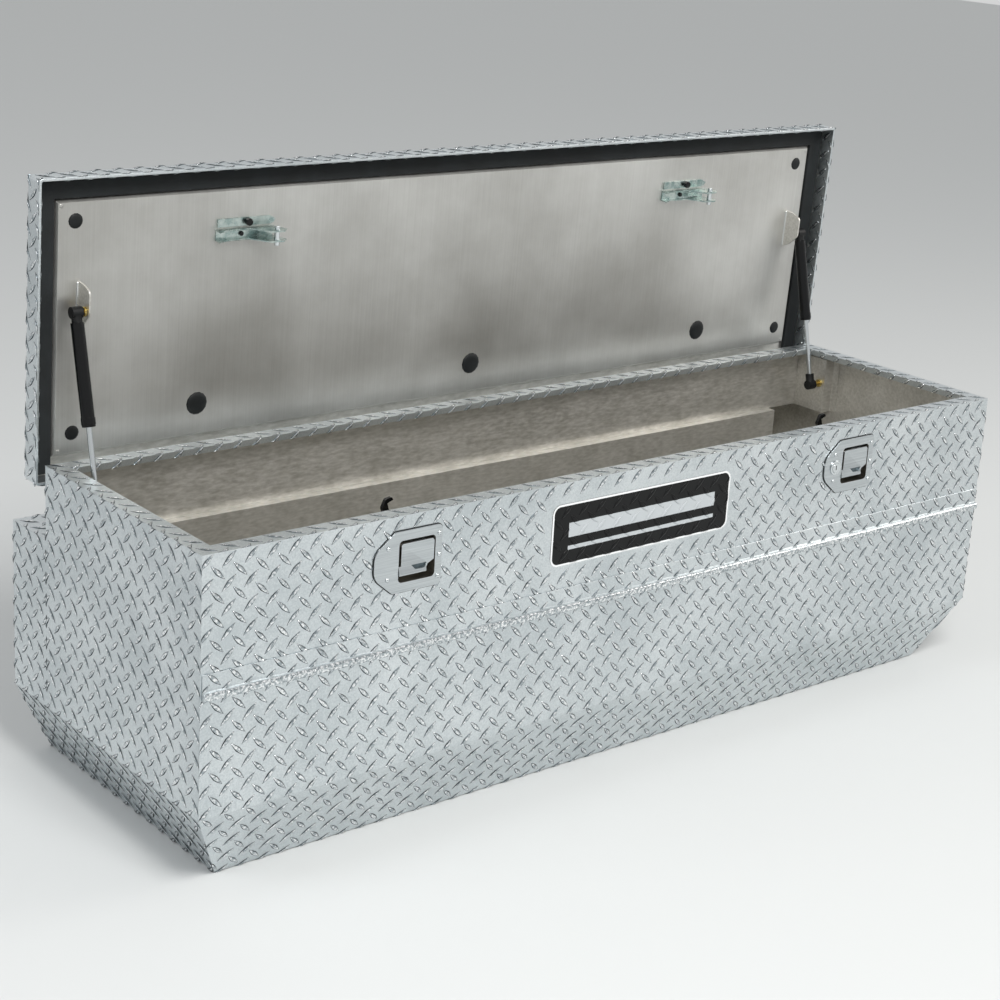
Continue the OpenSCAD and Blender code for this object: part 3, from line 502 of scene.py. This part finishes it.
# Liner: a pan of 1.5 mm mill sheet with bevelled borders, tacked to the lid over the fold of the
# skirt. Its broad face is brushed by handling, so it mirrors the room softly and in long streaks.
liner_face, liner_shader = finish_of("brushed_liner_aluminium", Metallic=1.0)
lines = noise(liner_face, 3.0, 4.0, stretch=(220.0, 1.0, 2.0))
faint = add(liner_face, "ShaderNodeMath", {0: lines}, operation="MULTIPLY", _1=0.2).outputs[0]
stain = noise(liner_face, 3.4, 6.0, Roughness=0.6)
streaks = add(liner_face, "ShaderNodeMath", {0: stain, 1: faint}, operation="ADD").outputs[0]
tinted(liner_face, liner_shader, streaks, (0.42, "#b9b8b4"), (0.74, "#d6d6d3"))
graded(liner_face, liner_shader, streaks, 0.42, 0.56, From_Min=0.4, From_Max=0.95)
pitted(liner_face, liner_shader, lines, 0.05, 0.0004)
edged("lid_liner", 0.0007, liner_face)


def dome_mesh(name, spots, right, up, finish, radius, high):
    """Flattened domes at the given spots. Ring by ring, the radius is r cos(a) and the height
    h sin(a) for a from 0 to a right angle; the base disc closes it."""
    right, up = np.array(right, float), np.array(up, float)
    out = np.cross(right, up)
    lift, turn = np.radians([0.0, 28.0, 56.0]), np.linspace(0, 2 * math.pi, 14, endpoint=False)
    a, b = np.meshgrid(lift, turn, indexing="ij")
    ring = np.stack([radius * np.cos(a) * np.cos(b), radius * np.cos(a) * np.sin(b),
                     high * np.sin(a)], 2)
    one = np.concatenate([ring.reshape(-1, 3), [[0, 0, high]]])
    points = np.concatenate([np.array(s, float) + one @ np.array([right, up, out]) for s in spots])
    n, top = len(turn), len(one) - 1
    k = np.arange(n)
    nxt = (k + 1) % n
    rings = [(int(i * n + p), int(i * n + q), int((i + 1) * n + q), int((i + 1) * n + p))
             for i in range(len(lift) - 1) for p, q in zip(k, nxt)]
    cap = [(int((len(lift) - 1) * n + p), int((len(lift) - 1) * n + q), top) for p, q in zip(k, nxt)]
    single = rings + cap + [tuple(int(p) for p in k[::-1])]
    faces = [tuple(v + s * len(one) for v in f) for s in range(len(spots)) for f in single]
    mesh = bpy.data.meshes.new(name)
    mesh.from_pydata(points.tolist(), [], faces)
    mesh.materials.append(finish)
    mesh.polygons.foreach_set("use_smooth", [len(f) < 5 for f in faces])
    return mesh


liner_x, liner_front, liner_back = lid_x - 0.036, lid_front + 0.036, lid_back - 0.028
liner_z = lid_top - 0.008
tack_in = 0.009
tacks = [on_lid((x, y, liner_z)) for x in (-liner_x + tack_in, liner_x - tack_in)
         for y in (liner_front + tack_in, liner_back - tack_in)]
lid_right, lid_up = swing @ -X, swing @ Y
link_piece("liner_tack_welds", dome_mesh("liner_tack_welds", tacks, lid_right, lid_up, liner_face,
                                         radius=0.0032, high=0.0007), "lid", "mill_aluminium")

# Gasket: 8 mm closed-cell neoprene foam strip, butt-jointed at the corners, soft and dead black
foam, foam_shader = finish_of("neoprene_foam", IOR=1.5, Roughness=0.85)
tinted(foam, foam_shader, noise(foam, 24.0, 3.0), (0.3, "#0c1011"), (0.7, "#171c1e"))
cells = add(foam, "ShaderNodeTexVoronoi", {
    "Vector": add(foam, "ShaderNodeTexCoord").outputs["Object"]}, Scale=900.0)
pitted(foam, foam_shader, cells.outputs["Distance"], 0.25, 0.0004)
strip = edged("lid_gasket", 0.0012, foam)
# The rim's lozenges squeeze a real strip. This one's face is set back instead, so that they clear
at_rim = Vector(on_lid((0, 0, rim)))
face_depth, set_back = 0.002, 0.0012
for corner in strip.data.vertices:
    if (at_rim - corner.co).dot(lid_down) < face_depth:
        corner.co -= lid_down * set_back

# Push-in plugs: low-density polyethylene mouldings with a domed head, four small and three large
plug_black, plug_shader = finish_of("polyethylene_black", Roughness=0.48, IOR=1.51,
                                     Specular_IOR_Level=0.3)
dust = noise(plug_black, 180.0, 2.0)
tinted(plug_black, plug_shader, dust, (0.0, "#090b0c"), (1.0, "#15191a"))
pitted(plug_black, plug_shader, dust, 0.15, 0.0003)
small_in, small_rear_in, large_in, large_pitch = 0.031, 0.034, 0.051, 0.512
small_spots = [on_lid((x, y, liner_z)) for x in (-liner_x + small_in, liner_x - small_in)
               for y in (liner_front + small_in, liner_back - small_rear_in)]
large_spots = [on_lid((i * large_pitch, liner_back - large_in, liner_z)) for i in (-1, 0, 1)]
link_piece("small_plug_heads", dome_mesh("small_plug_heads", small_spots, lid_right, lid_up, plug_black,
                                         radius=0.011, high=0.0022), "lid", "black_plastic", "small_plugs")
link_piece("large_plug_heads", dome_mesh("large_plug_heads", large_spots, lid_right, lid_up, plug_black,
                                         radius=0.0175, high=0.003), "lid", "black_plastic", "large_plugs")

# Strut ears: D-shaped plates sawn from sheet and welded to the liner along their straight edge
edged("lid_ear_left", 0.0006, mill_face)
edged("lid_ear_right", 0.0006, mill_face)


def weld_mesh(name, runs, radius, finish):
    """Weld beads along straight runs. Round the run a full circle of radius r; along it the radius
    swells as 1 + 0.16 |sin| once every ripple and shrinks to a point at both ends."""
    ripple, stride = 0.0034, 0.0011
    points, faces = [], []
    turn = np.linspace(0, 2 * math.pi, 8, endpoint=False)
    for start, stop in runs:
        start, stop = np.array(start, float), np.array(stop, float)
        length = np.linalg.norm(stop - start)
        ahead_dir = (stop - start) / length
        side_dir = np.cross(ahead_dir, [0.31, 0.52, 0.79])
        side_dir /= np.linalg.norm(side_dir)
        steps = max(6, int(length / stride))
        t = np.linspace(0, 1, steps)
        swell = radius * (1 + 0.16 * np.abs(np.sin(t * length / ripple * math.pi)))
        swell *= np.clip(np.sin(np.clip(t, 0.004, 0.996) * math.pi) * length / (2 * radius), 0, 1)
        ring = np.cos(turn)[:, None] * side_dir + np.sin(turn)[:, None] * np.cross(ahead_dir, side_dir)
        base = sum(len(p) for p in points)
        body = (start + t[:, None] * (stop - start))[:, None] + swell[:, None, None] * ring
        points.append(body.reshape(-1, 3))
        n = len(turn)
        faces += [(base + i * n + k, base + i * n + (k + 1) % n, base + (i + 1) * n + (k + 1) % n,
                   base + (i + 1) * n + k) for i in range(steps - 1) for k in range(n)]
        faces += [tuple(base + k for k in range(n))[::-1],
                  tuple(base + (steps - 1) * n + k for k in range(n))]
    mesh = bpy.data.meshes.new(name)
    mesh.from_pydata(np.concatenate(points).tolist(), [], faces)
    mesh.materials.append(finish)
    mesh.polygons.foreach_set("use_smooth", [True] * len(mesh.polygons))
    return mesh


# Bright TIG weld metal: rippled, a little rougher than the plate
weld_metal, weld_shader = finish_of("tig_weld_aluminium", Metallic=1.0, Base_Color=linear("#dcdedd"))
graded(weld_metal, weld_shader, noise(weld_metal, 700.0, 2.0), 0.25, 0.5)
ear_y = float(hinge_at[1]) - 0.243
ear_front, ear_back = ear_y - 0.037, ear_y + 0.028
ear_runs = [(on_lid((face.x, ear_front, liner_z)), on_lid((face.x, ear_back, liner_z)))
            for name in ("left", "right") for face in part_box(f"lid_ear_{name}")]
link_piece("ear_welds", weld_mesh("ear_welds", ear_runs, 0.0021, weld_metal), "lid", "mill_aluminium")

# Piano hinge: rolled stainless leaves with knuckles curled round a 3 mm pin
stainless, stainless_shader = finish_of("brushed_stainless_steel", Metallic=1.0)
lines = noise(stainless, 1.0, 3.0, stretch=(12.0, 900.0, 900.0))
tinted(stainless, stainless_shader, lines, (0.3, "#b3b9bc"), (0.7, "#ccd1d3"))
graded(stainless, stainless_shader, lines, 0.26, 0.4)
pitted(stainless, stainless_shader, lines, 0.05, 0.0002)
for node in ("hinge_body_leaf", "hinge_lid_leaf", "hinge_pin"):
    edged(node, 0.0003, stainless)

# ---- Gas struts -------------------------------------------------------------------------------
# Each strut is a painted steel cylinder with a rolled collar, a chromed rod and moulded nylon
# ball sockets that snap on yellow-zinc ball studs. Folded standoffs carry the lower studs.

# Baked black enamel of the cylinders: glossy, with a slight orange peel from the spray gun
strut_black, strut_shader = finish_of("black_strut_enamel", Base_Color=linear("#060708"), IOR=1.5,
                                      Specular_IOR_Level=0.3)
peel = noise(strut_black, 260.0, 2.0)
graded(strut_black, strut_shader, peel, 0.14, 0.24)
pitted(strut_black, strut_shader, peel, 0.05, 0.0002)
# Glass-filled nylon of the moulded sockets: black, satin, with fibres just under the skin
nylon, nylon_shader = finish_of("glass_filled_nylon", Base_Color=linear("#08090a"), Roughness=0.5,
                                IOR=1.53, Specular_IOR_Level=0.3)
pitted(nylon, nylon_shader, noise(nylon, 500.0, 2.0), 0.2, 0.0002)
# Hard chrome, ground and plated: the rods, and other small bright steel parts
chrome, chrome_shader = finish_of("hard_chrome", Metallic=1.0, Base_Color=linear("#d3d8da"))
graded(chrome, chrome_shader, noise(chrome, 140.0, 3.0), 0.08, 0.2)
# Yellow zinc: electroplated steel under a chromate that dries in faint rainbow clouds
yellow_zinc, yellow_shader = finish_of("yellow_zinc_plate", Metallic=1.0, Roughness=0.28)
tinted(yellow_zinc, yellow_shader, noise(yellow_zinc, 90.0, 2.0), (0.35, "#b89a4a"), (0.7, "#d8c98c"))
for name in ("left", "right"):
    edged(f"strut_mount_{name}", 0.0005, mill_face)
    edged(f"strut_tube_{name}", 0.0008, strut_black)
    edged(f"strut_rod_{name}", 0.0003, chrome)
    edged(f"strut_foot_{name}", 0.001, nylon)
    edged(f"strut_head_{name}", 0.001, nylon)
    edged(f"upper_ball_stud_{name}", 0.0003, yellow_zinc)
edged("lower_ball_studs", 0.0003, yellow_zinc)

# ---- Strikers ---------------------------------------------------------------------------------
# Each striker is a plain zinc-plated plate under a black knurled bolt, and a pressed bracket that
# holds the round bar on which the hook closes.

# Clear zinc: pressed steel, barrel-plated and blue-passivated, so it is cloudy grey-green
clear_zinc, zinc_shader = finish_of("clear_zinc_plate", Metallic=1.0)
cloud = noise(clear_zinc, 70.0, 3.0)
tinted(clear_zinc, zinc_shader, cloud, (0.32, "#7f9896"), (0.68, "#c9d3cf"))
graded(clear_zinc, zinc_shader, cloud, 0.18, 0.36)
for name in ("left", "right"):
    edged(f"striker_plate_{name}", 0.0006, clear_zinc)
    edged(f"striker_bracket_{name}", 0.0008, clear_zinc)
edged("striker_bars", 0.0004, chrome)
edged("striker_bolts", 0.0008, strut_black)

# ---- Paddle latches ---------------------------------------------------------------------------
# A stainless plate with a pressed pan is riveted over a rubber seal. The stainless paddle turns
# on a pin across the top of the pan; a sheet case behind the panel carries the hook.

# Stainless steel of the pan and of the paddle's back: drawn and unpolished, coloured darker and warmer as painted
# shade for the recess behind the plate's face
pan_painted_shade, pan_shade_shader = finish_of("stainless_pan_painted_shade", Metallic=1.0, Roughness=0.42)
tinted(pan_painted_shade, pan_shade_shader, noise(pan_painted_shade, 45.0, 3.0), (0.3, "#76736c"), (0.72, "#aaa59c"))
# Nitrile rubber of the seal: die-cut sheet, matt black with a slight bloom
rubber, rubber_shader = finish_of("nitrile_rubber", Base_Color=linear("#101314"), Roughness=0.6,
                                  IOR=1.52)
pitted(rubber, rubber_shader, noise(rubber, 300.0, 2.0), 0.2, 0.0002)
# Floor of the finger notch: pressed steel, coloured dark bluish grey as painted shade for the inclined scoop
notch_painted_shade, notch_shade_shader = finish_of("finger_notch_painted_shade", Metallic=1.0, Roughness=0.35)
tinted(notch_painted_shade, notch_shade_shader, noise(notch_painted_shade, 150.0, 3.0), (0.0, "#3a4347"), (1.0, "#6c787d"))


notch_y = front_y - 0.0008
shade_y = front_y + 0.0005


def pan_shaded_side(centre, normal):
    """True in the pan, behind the latch plate's face, where the painted shade goes."""
    return centre.y > shade_y


def paddle_shade_side(centre, normal):
    """2 on the floor of the finger notch and 1 behind the paddle's face, both painted shade; 0 on the face."""
    in_notch = abs(centre.y - notch_y) < 0.0002 and normal.y < -0.9
    return 2 if in_notch else int(centre.y > shade_y)


for name in ("left", "right"):
    edged(f"latch_seal_{name}", 0.0002, rubber)
    edged(f"latch_plate_{name}", 0.0004, stainless, pan_painted_shade, hidden_side=pan_shaded_side)
    edged(f"paddle_{name}", 0.0007, stainless, pan_painted_shade, notch_painted_shade, hidden_side=paddle_shade_side)
    edged(f"latch_case_{name}", 0.0004, strut_black)
    edged(f"latch_hook_{name}", 0.0006, strut_black)
edged("paddle_pins", 0.0, stainless)
edged("paddle_springs", 0.0, stainless)
face_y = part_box("latch_plate_left")[0].y
# Rivet centres, from the middle of the latch's window along the panel and up it
rivet_at = ((-0.048, 0.022), (-0.048, -0.022), (0.037, 0.031), (0.038, 0.0), (0.037, -0.031))
heads = [(x + dx, face_y, latch_z + dz) for x in latch_x for dx, dz in rivet_at]
link_piece("rivet_heads", dome_mesh("rivet_heads", heads, X, Z, chrome, radius=0.0034, high=0.0023),
           "chest", "stainless", "latch_rivets")
# Key lock: a die-cast barrel, chromed, with a chromed key plug that turns a zinc-plated cam
edged("lock_barrel", 0.0008, chrome)
edged("lock_core", 0.0003, chrome)
edged("lock_cam", 0.0003, clear_zinc)

# ---- Label ------------------------------------------------------------------------------------
# A blank vinyl label with a white keyline and two plain stripes, pressed over the lozenges so
# that they show through it as bumps.

# Calendered vinyl film, screen-printed black and white under a gloss laminate
vinyl, vinyl_shader = finish_of("gloss_vinyl_label", Roughness=0.3, IOR=1.5, Specular_IOR_Level=0.25)
place = add(vinyl, "ShaderNodeSeparateXYZ", {
    "Vector": add(vinyl, "ShaderNodeTexCoord").outputs["Object"]})
label_mid = ((label_low.x + label_high.x) / 2, (label_low.z + label_high.z) / 2)
label_half = ((label_high.x - label_low.x) / 2, (label_high.z - label_low.z) / 2)
corner_r, keyline_in, keyline_w = 0.014, 0.0016, 0.003


def sum_of(operation, first, second, third=0.0):
    """One arithmetic node on the vinyl; an operand is a number or another node's output."""
    node = add(vinyl, "ShaderNodeMath", operation=operation)
    for socket, value in zip(node.inputs, (first, second, third)):
        if isinstance(value, (int, float)):
            socket.default_value = value
        else:
            vinyl.node_tree.links.new(value, socket)
    return node.outputs[0]


# Depth inside a rounded rectangle: the corner radius minus the length of what reaches past it
reach = [sum_of("MAXIMUM", sum_of("SUBTRACT", sum_of("ABSOLUTE", sum_of(
    "SUBTRACT", place.outputs[axis], mid), 0.0), half - corner_r), 0.0)
    for axis, mid, half in (("X", label_mid[0], label_half[0]), ("Z", label_mid[1], label_half[1]))]
depth = sum_of("SUBTRACT", corner_r, sum_of("POWER", sum_of("ADD", sum_of(
    "MULTIPLY", reach[0], reach[0]), sum_of("MULTIPLY", reach[1], reach[1])), 0.5))
# A comparison is 1 within a half width of a middle: the keyline, two stripes and their ends
keyline = sum_of("COMPARE", depth, keyline_in, keyline_w / 2)
stripe_wide = sum_of("COMPARE", place.outputs["Z"], label_mid[1] + 0.006, 0.011)
stripe_thin = sum_of("COMPARE", place.outputs["Z"], label_mid[1] - 0.021, 0.003)
stripe_end = sum_of("COMPARE", place.outputs["X"], label_mid[0], label_half[0] - 0.032)
stripes = sum_of("MULTIPLY", sum_of("ADD", stripe_wide, stripe_thin), stripe_end)
ground = add(vinyl, "ShaderNodeMix", {0: stripes}, data_type="RGBA")
ground.inputs[6].default_value = linear("#060708")
ground.inputs[7].default_value = linear("#b4b9bc")
printed = add(vinyl, "ShaderNodeMix", {0: keyline, 6: ground.outputs[2]}, data_type="RGBA")
printed.inputs[7].default_value = linear("#e3e5e6")
feed(vinyl, printed.outputs[2], vinyl_shader, "Base Color")
pitted(vinyl, vinyl_shader, noise(vinyl, 120.0, 2.0), 0.08, 0.0004)
edged("front_label", 0.0, vinyl)
bump_in = 0.003
x0, x1 = label_low.x + bump_in, label_high.x - bump_in
z0, z1 = label_low.z + bump_in, label_high.z - bump_in
cut = 0.009
label_edge = [(x0 + cut, z0), (x1 - cut, z0), (x1, z0 + cut), (x1, z1 - cut), (x1 - cut, z1),
              (x0 + cut, z1), (x0, z1 - cut), (x0, z0 + cut)]
label_shift = ((front_shift[0] - end_x - x0) % pitch, (front_shift[1] + seam_z - z0) % pitch)
link_piece("label_bumps", lozenge_mesh("label_bumps", [lozenge_field(
    (0, label_low.y, 0), X, Z, label_edge, height=0.7, shift=label_shift)], vinyl), "chest", "label")
